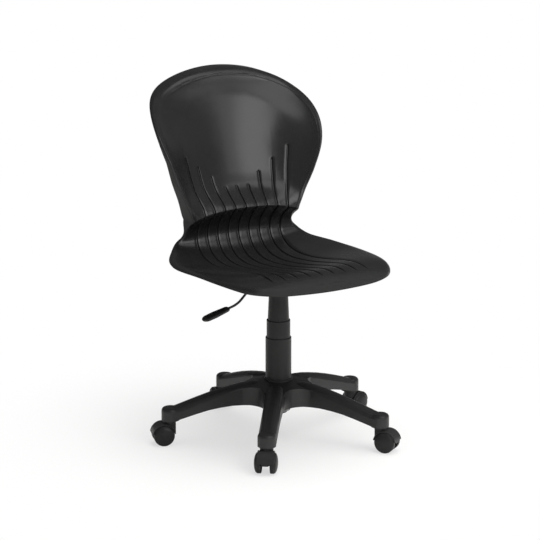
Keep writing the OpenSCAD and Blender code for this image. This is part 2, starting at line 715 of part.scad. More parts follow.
module piston_head() {
  r = cyl_r - cyl_wall - run;
  mid = rod_top - head_h / 2;
  color(brass) turned([[rod_r + fit, rod_top - head_h], [r, rod_top - head_h], [r, mid - seal_h / 2],
    [r - seal_drop, mid - seal_h / 2], [r - seal_drop, mid + seal_h / 2], [r, mid + seal_h / 2],
    [r, rod_top], [rod_r + fit, rod_top]]);
}
module bump_stop() { color(rubber_black) tube(rod_r + fit, bump_r, bump_z, bump_h); }
module washer_upper() { color(bright_steel) tube(rod_r + fit, washer_r, washer_up_z, washer_t); }
module washer_lower() { color(bright_steel) tube(rod_r + gap, washer_r, stand_low + stand_floor, washer_t); }
module thrust_balls() {
  color(bright_steel) for (k = [1:ball_count])
    rotate(360 * k / ball_count) translate([ball_ring_r, 0, ball_z]) sphere(d = ball_d, $fn = 24);
}
module rod_clip() {
  color(bright_steel) difference() {
    tube(rod_r - groove_drop + fit, clip_d / 2, clip_z, clip_t);
    translate([0, -rod_r + groove_drop, clip_z - cut]) cube([clip_d, 2 * (rod_r - groove_drop), clip_t + 2 * cut]);
  }
}

// Base
module round_the_base(turn = 0) { for (k = [1:5]) rotate(90 + turn + 72 * k) children(); }
module arm() {
  rows = [for (s = arm_shares) [arm_in + s[0] * (stem_r - arm_in), s[1] * hub_h, s[2] * hub_h, s[3] * hub_h]];
  half = arm_w / 2;
  in = half - arm_t;
  // Half of the outer section, from the foot of the wall up to the ridge
  function outer(r) = concat([[half, r[3]], [half, r[2] - arm_round],
    [half - round_share * arm_round, r[2] - round_share * arm_round]],
    [for (k = [len(crown_shares) - 1:-1:0]) let (c = crown_shares[k]) [c[0] * half, r[2] + c[1] * (r[1] - r[2])]]);
  function inner(r) = [[ridge_half, r[1] - arm_t - chamfer], [in, r[2] - arm_t], [in, r[3]]];
  function section(r) = let (o = outer(r), i = inner(r), n = len(o)) concat(
    [for (p = o) [r[0], -p[0], p[1]]], [for (k = [n - 2:-1:0]) [r[0], o[k][0], o[k][1]]],
    [for (k = [len(i) - 1:-1:0]) [r[0], i[k][0], i[k][1]]], [for (p = i) [r[0], -p[0], p[1]]]);
  points = [for (r = rows) each section(r)];
  n = len(section(rows[0]));
  last = len(rows) - 1;
  // The open end face as a chain of flat pieces, from one wall over the ridge to the other
  cap = [[0, 1, 17, 18], [1, 2, 17], [2, 3, 17], [3, 16, 17], [3, 4, 16], [4, 5, 16], [5, 6, 16], [6, 15, 16],
    [6, 7, 15], [7, 8, 15], [8, 9, 15], [9, 14, 15], [9, 10, 14], [10, 11, 14], [11, 12, 13, 14]];
  polyhedron(points = points, convexity = 6, faces = concat(
    [for (c = cap) [for (k = [len(c) - 1:-1:0]) c[k]]], [for (c = cap) [for (k = c) last * n + k]],
    [for (i = [0:last - 1], k = [0:n - 1], t = [0, 1]) let (a = i * n + k, b = i * n + (k + 1) % n)
      t == 0 ? [a, b + n, a + n] : [a, b, b + n]]));
}
module knuckle() {
  top = caster_h + knuckle_h;
  translate([stem_r - knuckle_in, 0, 0]) turned(concat([[0, caster_h], [knuckle_r, caster_h]],
    round_over([knuckle_r - knuckle_round, top - knuckle_round], knuckle_round, knuckle_round), [[0, top]]));
}
module star(inset) {
  difference() {
    circle(web_reach - inset);
    round_the_base(36) translate([web_centre, 0]) circle(web_r + inset);
  }
}
module web(inset) {
  low = web_z - (inset > 0 ? cut : 0);
  top = hub_h - inset;
  intersection() {
    translate([0, 0, low]) linear_extrude(top - low) star(inset);
    turned([[0, low - cut], [web_reach, low - cut], [web_reach, top - (web_reach - hub_flat_r) * roof_slope],
      [hub_flat_r, top], [0, top]]);
  }
}
module base_star() {
  function hub_bore_r(z) = stand_r + fit - stand_drop * (hub_h - z) / (hub_h - stand_low);
  color(nylon_black) difference() {
    union() {
      difference() {
        web(0);
        difference() {
          web(arm_t);
          cylinder(r = hub_tube_r, h = hub_h);
        }
      }
      translate([0, 0, hub_tube_z]) cylinder(r = hub_tube_r, h = hub_h - hub_tube_z);
      round_the_base() {
        arm();
        knuckle();
      }
    }
    turned([[0, hub_tube_z - cut], [hub_bore_r(hub_tube_z - cut), hub_tube_z - cut],
      [hub_bore_r(hub_h + cut), hub_h + cut], [0, hub_h + cut]]);
    round_the_base() translate([stem_r, 0, caster_h - cut]) {
      cylinder(r = stem_r2 + run, h = stem_deep + cut);
      tube(stem_r2 + stem_wall, knuckle_r - stem_wall, 0, pocket_h + cut);
    }
  }
}
module hub_ring() { color(bright_steel) tube(hub_tube_r + fit, ring_out_r, hub_tube_z, hub_ring_h); }
module grip_rings() {
  r = stem_r2 - stem_groove_drop;
  color(bright_steel) round_the_base() translate([stem_r, 0, 0])
    tube(r + gap, stem_r2 + run - fit, caster_h + stem_groove_z, stem_groove_h);
}

// Casters, drawn with the stem on the z axis and trailing towards +x
module at_caster(k) { rotate(18 + 72 * k) translate([stem_r, 0, 0]) children(); }
module at_axle() { translate([trail, 0, wheel_r]) children(); }
module caster_stem(k) {
  groove_r = stem_r2 - stem_groove_drop;
  groove_z = caster_h + stem_groove_z - gap;
  groove_top = groove_z + stem_groove_h + 2 * gap;
  top = caster_h + stem_deep - collar_drop;
  color(bright_steel) at_caster(k) turned([[0, stem_low], [stem_r2, stem_low], [stem_r2, caster_h - collar_drop],
    [stem_collar_d / 2, caster_h - collar_drop], [stem_collar_d / 2, caster_h - gap], [stem_r2, caster_h - gap],
    [stem_r2, groove_z], [groove_r, groove_z], [groove_r, groove_top], [stem_r2, groove_top],
    [stem_r2, top - chamfer], [stem_r2 - chamfer, top], [0, top]]);
}
module above(z) {
  intersection() {
    children();
    translate([-2 * wheel_d, -wheels_w, z]) cube([4 * wheel_d, 2 * wheels_w, caster_h]);
  }
}
module caster_hood(k) {
  pocket_r = wheel_r + wheel_gap_r;
  color(nylon_black) at_caster(k) difference() {
    union() {
      above(fender_z) at_axle() across(2 * (pocket_r + fender_t), 2 * fender_half);
      above(spine_z) at_axle() across(2 * pocket_r, 2 * spine_half);
      at_axle() across(2 * rim_hub_r, wheel_gap - 2 * gap);
      above(fender_z) cylinder(r = collar_r, h = caster_h - collar_drop);
    }
    for (side = [-1, 1]) at_axle() difference() {
      translate([0, side * (spine_half + wheels_w / 2), 0]) across(2 * pocket_r, wheels_w);
      across(2 * rim_hub_r, wheel_gap - 2 * gap);
    }
    at_axle() across(axle_d + 2 * fit, wheels_w);
    translate([0, 0, stem_low]) cylinder(r = stem_r2 + fit, h = caster_h);
  }
}
module caster_axle(k) { color(bright_steel) at_caster(k) at_axle() across(axle_d, 2 * axle_half); }
// Wheel turned about z, with its inner face at z = half of wheel_gap
module wheel() {
  inner = wheel_gap / 2;
  tread = inner + tread_w;
  blind = axle_half + gap;
  turned(concat([[axle_d / 2 + run, inner], [rim_hub_r, inner], [rim_hub_r, inner + rim_in_deep],
    [rim_in_r, inner + rim_in_deep], [rim_in_r, inner], [wheel_r - chamfer, inner], [wheel_r, inner + chamfer],
    [wheel_r, tread - chamfer]], round_over([0, tread], wheel_r - chamfer, wheels_w / 2 - tread, 6),
    [[0, blind], [axle_d / 2 + run, blind]]));
}
module caster_wheel(k, turn) { color(wheel_black) at_caster(k) at_axle() rotate([turn, 0, 0]) wheel(); }

seat_shell();
seat_inserts();
seat_bolts();
mechanism_pan();
taper_socket();
lever_bracket();
lever_pivot();
lever_rod();
lever_grip();
release_pin();
gas_cylinder();
cover_upper();
cover_middle();
cover_lower();
stand_tube();
column_guide();
piston_rod();
piston_head();
bump_stop();
washer_upper();
thrust_balls();
washer_lower();
rod_clip();
base_star();
hub_ring();
grip_rings();
for (k = [1:5]) {
  caster_stem(k);
  caster_hood(k);
  caster_axle(k);
  caster_wheel(k, -90);
  caster_wheel(k, 90);
}
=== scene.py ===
"""The looks of a swivel task chair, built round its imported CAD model."""
import json
import math

import bpy
import numpy as np
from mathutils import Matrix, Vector


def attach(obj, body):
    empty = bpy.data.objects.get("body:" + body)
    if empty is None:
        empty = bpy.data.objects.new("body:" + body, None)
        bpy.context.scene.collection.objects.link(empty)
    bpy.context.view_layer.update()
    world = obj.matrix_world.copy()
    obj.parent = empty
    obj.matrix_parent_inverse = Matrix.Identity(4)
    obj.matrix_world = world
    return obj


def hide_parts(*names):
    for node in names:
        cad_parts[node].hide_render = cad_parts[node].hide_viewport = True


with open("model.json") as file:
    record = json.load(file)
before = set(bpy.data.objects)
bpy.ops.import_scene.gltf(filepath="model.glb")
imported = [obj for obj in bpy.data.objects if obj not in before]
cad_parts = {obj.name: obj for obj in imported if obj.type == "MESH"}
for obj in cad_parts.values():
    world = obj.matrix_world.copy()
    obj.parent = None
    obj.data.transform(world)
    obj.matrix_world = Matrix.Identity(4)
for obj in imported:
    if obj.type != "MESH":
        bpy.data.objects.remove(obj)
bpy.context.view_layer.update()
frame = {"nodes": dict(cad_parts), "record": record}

MM = 0.001

# Sizes in millimetres, as in the part's source
SEAT_W, SEAT_L, BACK_W = 488, 440, 464
SHELL_H, SEAT_H, SHELL_T = 460, 425, 4.5
RIM_W, RIM_DEEP, RIM_ROLL = 22, 57, 10
GROOVE_PITCH, GROOVE_W, GROOVE_D = 29.7, 5.4, 3.7
BOLT_DX, BOLT_DY, BOSS_D, BOSS_Z, INSERT_D = 150, 150, 18, 414, 9

# Rows of the shell from the front edge to the top edge: place along the seat, height, half width,
# set-back of the ends, rise of the ends, as shares of the shell's sizes
SEAT_ROW_SHARES = [
    (-0.539, 0.046, 0, 0, 0), (-0.534, 0.052, 0.350, 0.004, -0.002), (-0.525, 0.061, 0.550, 0.008, -0.007),
    (-0.511, 0.070, 0.680, 0.021, -0.013), (-0.486, 0.078, 0.775, 0.040, -0.018),
    (-0.441, 0.085, 0.830, 0.058, -0.017), (-0.364, 0.083, 0.875, 0.066, -0.012),
    (-0.261, 0.065, 0.905, 0.066, 0.004), (-0.148, 0.043, 0.908, 0.057, 0.023),
    (-0.034, 0.024, 0.910, 0.045, 0.036), (0.080, 0.010, 0.908, 0.030, 0.043),
    (0.182, 0.001, 0.900, 0.018, 0.047), (0.268, 0.001, 0.866, 0.014, 0.050),
    (0.341, 0.011, 0.814, 0.014, 0.045), (0.398, 0.036, 0.740, 0.011, 0.030),
    (0.434, 0.072, 0.680, 0.018, 0.026), (0.455, 0.113, 0.632, -0.003, 0.011),
    (0.460, 0.148, 0.602, -0.012, 0), (0.448, 0.183, 0.590, -0.016, -0.007),
    (0.418, 0.222, 0.590, -0.018, -0.020), (0.386, 0.253, 0.594, -0.016, -0.033)]
BACK_ROW_SHARES = [
    (0.367, 0.267, 0.622, -0.013, -0.037), (0.360, 0.277, 0.624, -0.011, -0.039),
    (0.367, 0.288, 0.630, -0.017, -0.037), (0.386, 0.307, 0.650, -0.038, -0.028),
    (0.423, 0.333, 0.684, -0.070, -0.015), (0.449, 0.354, 0.710, -0.093, -0.008),
    (0.468, 0.375, 0.737, -0.112, -0.002), (0.479, 0.390, 0.754, -0.123, -0.001),
    (0.503, 0.437, 0.798, -0.148, 0), (0.509, 0.453, 0.811, -0.154, 0), (0.526, 0.499, 0.844, -0.171, 0),
    (0.532, 0.515, 0.856, -0.178, 0), (0.551, 0.568, 0.890, -0.194, 0), (0.557, 0.584, 0.902, -0.194, 0),
    (0.570, 0.624, 0.927, -0.191, 0),
    (0.593, 0.693, 0.950, -0.173, 0), (0.616, 0.763, 0.935, -0.130, -0.002),
    (0.636, 0.828, 0.875, -0.084, -0.013), (0.653, 0.883, 0.784, -0.050, -0.026),
    (0.666, 0.922, 0.668, -0.030, -0.033), (0.674, 0.946, 0.517, -0.016, -0.026),
    (0.678, 0.960, 0.310, -0.006, -0.012), (0.681, 0.966, 0, 0, 0)]
SEAT_POWER, BACK_POWER = 2, 2.5

# Tables of (share of the way from the front edge to the top edge, share of a size)
THIGH_LIFT_SHARES = [(0, 0), (0.05, 0.004), (0.12, 0.011), (0.22, 0.011), (0.32, 0.004), (0.38, 0), (1, 0)]
RIM_OUT_SHARES = [
    (0, 0.27), (0.02, 0.36), (0.05, 0.6), (0.09, 0.73), (0.2, 0.82), (0.3, 1), (0.4, 1), (0.44, 0.92),
    (0.47, 0.8), (0.49, 0.62), (0.515, 0.42), (0.54, 0.34), (0.6, 0.32), (0.68, 0.4), (0.75, 0.5),
    (0.8, 0.55), (0.86, 0.62), (0.93, 0.72), (1, 0.78)]
RIM_DEEP_SHARES = [
    (0, 0.28), (0.06, 0.22), (0.11, 0.15), (0.16, 0.14), (0.27, 0.16), (0.33, 0.18), (0.4, 0.21),
    (0.47, 0.26), (0.49, 0.28), (0.515, 0.24), (0.53, 0.21), (0.55, 0.32), (0.575, 0.64), (0.6, 0.9),
    (0.615, 1.06), (0.63, 1.06), (0.65, 0.94), (0.69, 0.75), (0.75, 0.6), (0.79, 0.5), (0.82, 0.4),
    (0.856, 0.28), (0.893, 0.22), (0.927, 0.3), (0.956, 0.52), (0.975, 0.68), (1, 0.64)]
GROOVE_SPREAD_SHARES = [
    (0, 1.11), (0.05, 1.11), (0.1, 1.09), (0.15, 1.06), (0.2, 1.01), (0.25, 1), (0.35, 1.03), (0.45, 1.02),
    (0.5, 1), (0.63, 1), (0.67, 1.06), (0.7, 1.12), (0.73, 1.15), (0.8, 1.25), (1, 1.3)]
# The same with the turn of the rolled edge in degrees: 90 rolls it down, 0 rolls it to the rear
RIM_ANGLES = [
    (0, 90), (0.4, 90), (0.44, 80), (0.465, 65), (0.49, 50), (0.515, 38), (0.53, 30), (0.55, 15),
    (0.575, 5), (0.6, 0), (0.9, 3), (1, 0)]
# Heights at which the grooves end on the back, from the middle groove outwards
GROOVE_TOP_SHARES = [0.382, 0.382, 0.445, 0.507, 0.576]
GROOVE_FRONT_SHARE = -0.5
SIDE_GROOVES = 4
EDGE_SHARE = 0.95


class Value:
    """A node's output in a finish. Arithmetic on it adds Math nodes."""

    def __init__(self, finish, socket):
        self.finish = finish
        self.socket = socket

    def math(self, operation, *terms):
        return self.finish.node("ShaderNodeMath", {"operation": operation}, dict(enumerate(terms)))

    def __add__(self, other):
        return self.math("ADD", self, other)

    def __sub__(self, other):
        return self.math("SUBTRACT", self, other)

    def __rsub__(self, other):
        return self.math("SUBTRACT", other, self)

    def __mul__(self, other):
        return self.math("MULTIPLY", self, other)

    __radd__ = __add__
    __rmul__ = __mul__

    def between(self, low, high, out_low=0.0, out_high=1.0):
        """This value, smoothly taken from the range low to high to the range out_low to out_high."""
        return self.finish.node(
            "ShaderNodeMapRange", {"interpolation_type": "SMOOTHSTEP"},
            {"Value": self, "From Min": low, "From Max": high, "To Min": out_low, "To Max": out_high})


class Finish:
    """A procedural finish, kept as one material, or the node tree that is handed in."""

    def __init__(self, name, tree=None):
        if tree is None:
            self.material = bpy.data.materials.new(name)
            self.material.use_nodes = True
            tree = self.material.node_tree
        self.tree = tree
        self.tree.nodes.clear()

    def node(self, kind, settings=None, inputs=None, output=0):
        """The output of a new node with these settings and with these values or links in its sockets."""
        made = self.tree.nodes.new(kind)
        for key, value in (settings or {}).items():
            setattr(made, key, value)
        for key, value in (inputs or {}).items():
            if isinstance(value, Value):
                self.tree.links.new(value.socket, made.inputs[key])
            else:
                made.inputs[key].default_value = value
        return Value(self, made.outputs[output]) if made.outputs else made

    def place(self):
        return self.node("ShaderNodeTexCoord", output="Object")

    def part_of(self, vector, axis):
        return self.node("ShaderNodeSeparateXYZ", {}, {0: vector}, axis)

    def noise(self, scale, detail=2.0, rough=0.5, stretch=None):
        place = self.place()
        if stretch:
            place = self.node("ShaderNodeMapping", {}, {"Vector": place, "Scale": stretch})
        return self.node("ShaderNodeTexNoise", {}, {
            "Vector": place, "Scale": scale, "Detail": detail, "Roughness": rough})

    def mix_colour(self, factor, a, b):
        return self.node(
            "ShaderNodeMix", {"data_type": "RGBA"}, {"Factor": factor, "A": a, "B": b}, "Result")

    def bump(self, height, strength, distance):
        return self.node(
            "ShaderNodeBump", {}, {"Height": height, "Strength": strength, "Distance": distance})

    def pointed(self):
        """High on outer edges, low in hollows, and a half on flat faces."""
        return self.node("ShaderNodeNewGeometry", output="Pointiness")

    def surface(self, sockets):
        """The finish's own shader, with these values or links in its sockets."""
        shader = self.node("ShaderNodeBsdfPrincipled", {}, sockets)
        self.node("ShaderNodeOutputMaterial", {}, {"Surface": shader})
        return self.material


def grey(level, warmth=0.0):
    return (level * (1 + warmth), level, level * (1 - warmth), 1)


# Where the seat's front roll is, in metres, and the square of the normal's sideways part on a side wall
FRONT_ROLL_Y = (-0.226, -0.2)
SIDE_TURN = (0.45, 0.7)


def rubbed_edges(f):
    """1 on the shell's front roll and side walls, 0 on the rest."""
    front = f.part_of(f.place(), "Y").between(*FRONT_ROLL_Y, 1.0, 0.0)
    facing = f.part_of(f.node("ShaderNodeTexCoord", output="Normal"), "X")
    return front + (facing * facing).between(*SIDE_TURN)


def moulded_plastic(name, dark, light, rough, grain_scale, grain_depth, specular=0.5, matt_edge=0.0):
    """Black moulded plastic: spark-eroded grain, faint flow marks, scuffs, worn edges and painted shade in
    its hollows.
    """
    f = Finish(name)
    flow = f.noise(scale=9, detail=3, rough=0.55)
    cloud = f.noise(scale=60, detail=2, rough=0.6)
    shade = (flow * 0.6 + cloud * 0.4).between(0.3, 0.7)
    grain = f.noise(grain_scale, detail=2, rough=0.6)
    pits = f.noise(grain_scale * 0.35, detail=1, rough=0.5)
    scuff = f.noise(scale=35, detail=4, rough=0.7, stretch=(1, 1, 0.15)).between(0.62, 0.72)
    pointed = f.pointed()
    edge = pointed.between(0.53, 0.62)
    # Hollows such as the grooves: made rougher, and darkened to near black in the base colour as painted
    # shade
    hollow_shade = pointed.between(0.4, 0.47, 1.0, 0.0)
    worn = f.mix_colour(edge * 0.12 + scuff * 0.02, f.mix_colour(shade, dark, light), grey(0.09))
    roughness = rough + shade * 0.04 - scuff * 0.02 + hollow_shade * 0.3
    if matt_edge:
        roughness = roughness + rubbed_edges(f) * matt_edge
    return f.surface({
        # Painted shade: the base colour goes near black in the hollows
        "Base Color": f.mix_colour(hollow_shade * 0.8, worn, grey(0.003)),
        "Roughness": roughness,
        "Specular IOR Level": specular,
        "Normal": f.bump(grain * 0.7 + pits * 0.3, strength=0.35, distance=grain_depth)})


def painted_steel(name, level, rough):
    """Black powder coat with a fine orange peel."""
    f = Finish(name)
    peel = f.noise(scale=420, detail=2, rough=0.5)
    cloud = f.noise(scale=40, detail=3, rough=0.6).between(0.3, 0.7)
    edge = f.pointed().between(0.54, 0.64)
    paint = f.mix_colour(cloud, grey(level), grey(level * 1.5))
    return f.surface({
        "Base Color": f.mix_colour(edge * 0.3, paint, grey(0.2)),
        "Roughness": rough + cloud * 0.06,
        "Normal": f.bump(peel, strength=0.3, distance=0.0002)})


def bare_metal(name, colour, tarnish, rough):
    """Machined metal: fine turning marks and faint tarnish."""
    f = Finish(name)
    marks = f.noise(scale=900, detail=2, rough=0.5, stretch=(1, 1, 0.05))
    cloud = f.noise(scale=50, detail=3, rough=0.6).between(0.35, 0.75)
    return f.surface({
        "Base Color": f.mix_colour(cloud * 0.5, colour, tarnish),
        "Metallic": 1.0,
        "Roughness": rough + cloud * 0.15,
        "Normal": f.bump(marks, strength=0.15, distance=0.0001)})


def soft_rubber(name):
    """Dull black rubber with a little dust."""
    f = Finish(name)
    dust = f.noise(scale=140, detail=3, rough=0.7).between(0.45, 0.75)
    return f.surface({
        "Base Color": f.mix_colour(dust * 0.5, grey(0.012), grey(0.05, 0.05)),
        "Roughness": 0.75 + dust * 0.15,
        "Normal": f.bump(f.noise(scale=1500), strength=0.4, distance=0.0002)})


finishes = {
    "shell_plastic": moulded_plastic(
        "shell_plastic", grey(0.01), grey(0.013), rough=0.22, grain_scale=1400, grain_depth=0.00001,
        matt_edge=0.48),
    "base_nylon": moulded_plastic(
        "base_nylon", grey(0.016), grey(0.019), rough=0.32, grain_scale=1100, grain_depth=0.0001,
        specular=0.35),
    "cover_plastic": moulded_plastic(
        "cover_plastic", grey(0.022), grey(0.026), rough=0.36, grain_scale=1300, grain_depth=0.0002,
        specular=0.2),
    "caster_nylon": moulded_plastic(
        "caster_nylon", grey(0.017), grey(0.021), rough=0.32, grain_scale=1300, grain_depth=0.0002,
        specular=0.2),
    "grip_plastic": moulded_plastic(
        "grip_plastic", grey(0.01), grey(0.014), rough=0.5, grain_scale=1200, grain_depth=0.0003),
    "guide_plastic": moulded_plastic(
        "guide_plastic", grey(0.03), grey(0.04), rough=0.5, grain_scale=1300, grain_depth=0.0002),
    "black_steel": painted_steel("black_steel", level=0.014, rough=0.42),
    "lever_steel": painted_steel("lever_steel", level=0.012, rough=0.36),
    "bright_steel": bare_metal("bright_steel", grey(0.3), grey(0.2, 0.03), rough=0.36),
    "brass": bare_metal("brass", (0.78, 0.57, 0.26, 1), (0.45, 0.32, 0.16, 1), rough=0.32),
    "rubber": soft_rubber("rubber"),
}


def make_piece(name, points, faces, slot, body, *nodes):
    """A smooth-shaded mesh in millimetres that rides on a body and stands for CAD nodes."""
    mesh = bpy.data.meshes.new(name)
    mesh.from_pydata([tuple(p) for p in np.asarray(points) * MM], [], faces)
    mesh.validate()
    mesh.shade_smooth()
    mesh.materials.append(finishes[slot])
    piece = bpy.data.objects.new(name, mesh)
    bpy.context.scene.collection.objects.link(piece)
    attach(piece, body)
    if nodes:
        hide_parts(*nodes)
    return piece


class Skin:
    """Points and faces of one closed mesh, collected ring by ring."""

    def __init__(self):
        self.points = []
        self.faces = []

    def add(self, points):
        """The numbers of these new points."""
        start = len(self.points)
        self.points += [tuple(p) for p in points]
        return list(range(start, len(self.points)))

    def join(self, a, b, closed=False):
        """Faces between two rings of as many points."""
        n = len(a)
        for k in range(n if closed else n - 1):
            m = (k + 1) % n
            self.faces.append((a[k], a[m], b[m], b[k]))

    def fan(self, centre, ring):
        """Faces from one point to an open ring."""
        for a, b in zip(ring, ring[1:]):
            self.faces.append((centre, b, a))


def smooth(x):
    x = np.clip(x, 0, 1)
    return x * x * (3 - 2 * x)


def unit(v):
    return v / np.maximum(np.linalg.norm(v, axis=-1, keepdims=True), 1e-9)


# Shell: its rows, with the columns that a row holds
COLUMNS = 12
Y, Z, WIDTH, SET_BACK, RISE, POWER, LIFT, RIM_OUT, RIM_BACK, RIM_ANGLE, PITCH, PLACE = range(COLUMNS)


def row_sizes(shares, width, power):
    """Rows in millimetres from rows of shares."""
    return [(y * SEAT_L, SEAT_H + z * SHELL_H, w * width / 2, back * SEAT_L, rise * SHELL_H, power)
            for y, z, w, back, rise in shares]


rows = np.array(
    row_sizes(SEAT_ROW_SHARES, SEAT_W, SEAT_POWER) + row_sizes(BACK_ROW_SHARES, BACK_W, BACK_POWER))
LAST = len(rows) - 1
path = np.concatenate([[0], np.cumsum(np.hypot(np.diff(rows[:, Y]), np.diff(rows[:, Z])))])
PATH_L = path[-1]


def looked_up(table):
    """A table's shares at the rows' places."""
    return np.interp(path / PATH_L, *np.array(table).T)


widest_pitch = EDGE_SHARE * rows[:, WIDTH] / (SIDE_GROOVES * GROOVE_PITCH)
row_values = np.column_stack([
    rows, SHELL_H * looked_up(THIGH_LIFT_SHARES), RIM_W * looked_up(RIM_OUT_SHARES),
    RIM_DEEP * looked_up(RIM_DEEP_SHARES), looked_up(RIM_ANGLES),
    np.minimum(looked_up(GROOVE_SPREAD_SHARES), widest_pitch) * GROOVE_PITCH, path])

# What changes sign across the shell's middle line is mirrored beyond the first and last rows
signs = np.ones(COLUMNS)
signs[[WIDTH, PITCH]] = -1
padded_rows = np.vstack([
    row_values[1] * signs, row_values, row_values[-2] * signs, row_values[-3] * signs])
padded_rows[0, PLACE] = -path[1]
padded_rows[-2, PLACE] = 2 * PATH_L - path[-2]
padded_rows[-1, PLACE] = 2 * PATH_L - path[-3]


def row_at(t):
    """The row's values at place t along the shell, on a smooth curve through the rows."""
    t = np.clip(np.asarray(t, float), 0, LAST)
    i = np.minimum(t.astype(int), LAST - 1)
    f = (t - i)[..., None]
    weights = [(1 - f) ** 3, 3 * f ** 3 - 6 * f ** 2 + 4, -3 * f ** 3 + 3 * f ** 2 + 3 * f + 1, f ** 3]
    return sum(w / 6 * padded_rows[i + k] for k, w in enumerate(weights))


def skin_point(t, u):
    """Points of the sitting surface at places t along the shell and shares u of the half width."""
    values = np.moveaxis(row_at(t), -1, 0)
    v = np.abs(u)
    f = v ** values[POWER]
    hump = 4 * v * v * (1 - v * v)
    y = values[Y] + values[SET_BACK] * f
    z = values[Z] + values[RISE] * f + values[LIFT] * hump
    return np.stack([u * values[WIDTH], y, z], -1)


# Rows from an end over which the normals turn to the middle line's, how far in from an end they are
# taken, and the step that they are taken over
NEAR_END, END_INSET, NORMAL_STEP = 5, 0.1, 0.02


def skin_normal(t, u):
    """Outward normals. Near the first and last rows they come from nearer the middle line."""
    u = u * smooth(np.minimum(t, LAST - t) / NEAR_END)
    t = np.clip(t, END_INSET, LAST - END_INSET)
    along = skin_point(t + NORMAL_STEP, u) - skin_point(t - NORMAL_STEP, u)
    across = skin_point(t, u + NORMAL_STEP) - skin_point(t, u - NORMAL_STEP)
    return unit(np.cross(across, along))


# Grooves: the first and the last place of each, found on closely spaced rows beyond the front edge
FRONT_EDGE_SHARE, CLOSE_ROWS = 0.05, 4000
close_rows = row_at(np.linspace(LAST * FRONT_EDGE_SHARE, LAST, CLOSE_ROWS))
on_back = close_rows[:, PLACE] > PATH_L / 2
groove_start = close_rows[np.argmax(close_rows[:, Y] > GROOVE_FRONT_SHARE * SEAT_L), PLACE]
groove_ends = [
    close_rows[np.argmax((close_rows[:, Z] > SEAT_H + top * SHELL_H) & on_back), PLACE]
    for top in GROOVE_TOP_SHARES]

# Lengths over which a groove deepens at its start and runs out at its end, and its shares of the
# full width at both
FADE_IN, FADE_OUT = 40, 5
START_SHARE, TIP_SHARE = 0.4, 0.25


def groove_size(place, j):
    """Half width and depth of groove j at a place along the middle line."""
    fade_in = smooth((place - groove_start) / FADE_IN)
    left = groove_ends[abs(j)] - place
    cap = np.sqrt(np.clip(1 - (1 - np.clip(left / (GROOVE_W / 2), 0, 1)) ** 2, 0, 1))
    half = GROOVE_W / 2 * (START_SHARE + (1 - START_SHARE) * fade_in) * (TIP_SHARE + (1 - TIP_SHARE) * cap)
    return half, GROOVE_D * fade_in * smooth(left / FADE_OUT)


# Columns across a row: the groove's own section, the lands between, and the plain border
GROOVE_SECTION = [(-1, 0), (-0.92, 0.05), (-0.84, 0.25), (-0.74, 0.62), (-0.62, 0.88), (-0.4, 1), (0, 1),
                  (0.4, 1), (0.62, 0.88), (0.74, 0.62), (0.84, 0.25), (0.92, 0.05), (1, 0)]
LANDS = 4
BORDER_SHARES = [0, 0.02, 0.04, 0.06, 0.08, 0.1, 0.12, 0.15, 0.2, 0.28, 0.4, 0.55, 0.7, 0.85]


def row_of_columns(t):
    """Places across row t as x, and depth below the surface."""
    values = row_at(t)
    w, pitch = values[WIDTH], values[PITCH]
    groove_half = min(GROOVE_W / 2, pitch / 4)
    last_edge = SIDE_GROOVES * pitch + groove_half
    columns = [(-w + share * (w - last_edge), 0) for share in BORDER_SHARES]
    for j in range(-SIDE_GROOVES, SIDE_GROOVES + 1):
        half, depth = groove_size(values[PLACE], j)
        half = min(half, groove_half)
        columns += [(j * pitch + half * x, depth * d) for x, d in GROOVE_SECTION]
        if j < SIDE_GROOVES:
            columns += [(j * pitch + groove_half + k * (pitch - 2 * groove_half) / (LANDS + 1), 0)
                        for k in range(1, LANDS + 1)]
    columns += [(w - share * (w - last_edge), 0) for share in reversed(BORDER_SHARES)]
    return np.array(columns)


# The bead along the back's edge: how far in, width and height, and where along the shell it starts
BEAD_IN, BEAD_W, BEAD_H = 3, 5, 0.8
BEAD_START_SHARE, BEAD_FADE_SHARE = 0.52, 0.1
# The crown below the top edge: how far in, width and height, and its start and its full height as
# lengths below the top edge
CROWN_IN, CROWN_W, CROWN_H = 8, 56, 4.8
CROWN_START, CROWN_FULL = 300, 70
OUTLINE_SAMPLES = 1200

outline_places = np.linspace(0, LAST, OUTLINE_SAMPLES)
outline_points = np.vstack([
    skin_point(outline_places, np.full(OUTLINE_SAMPLES, side)) for side in (-1.0, 1.0)])


def border_relief(points, place):
    """Height of the low bead along the edge of the back and of the slight crown below its top."""
    gap = np.sqrt(((points[:, None] - outline_points[None]) ** 2).sum(-1).min(1))
    on_edge = smooth((place / PATH_L - BEAD_START_SHARE) / BEAD_FADE_SHARE)
    bead = BEAD_H * on_edge * smooth(1 - abs(gap - BEAD_IN) / (BEAD_W / 2))
    rising = smooth((CROWN_START - PATH_L + place) / (CROWN_START - CROWN_FULL))
    return bead + CROWN_H * rising * smooth((gap - CROWN_IN) / CROWN_W)


# Rows of the mesh for each row of the tables, and columns of the plain rear face
STEPS, REAR_COLUMNS = 6, 41
# Radius of the free edge's rounding, the roll's share of the edge's depth, and points round each
LIP_R, ROLL_SHARE = 1.1, 0.8
ROLL_POINTS, LIP_POINTS = 10, 5
WALL_SHARES, INNER_SHARES = (0.35, 0.7), (0.5, 1)


def middle_point(t):
    return skin_point(np.full(1, t, float), np.zeros(1))


def rear_middle_point(t):
    return middle_point(t) - skin_normal(np.full(1, t, float), np.zeros(1)) * SHELL_T


def edge_of(start, ring_rows, end):
    """The loop round a face: up its right side, over the top and down its left side."""
    return [start] + [r[-1] for r in ring_rows] + [end] + [r[0] for r in reversed(ring_rows)]


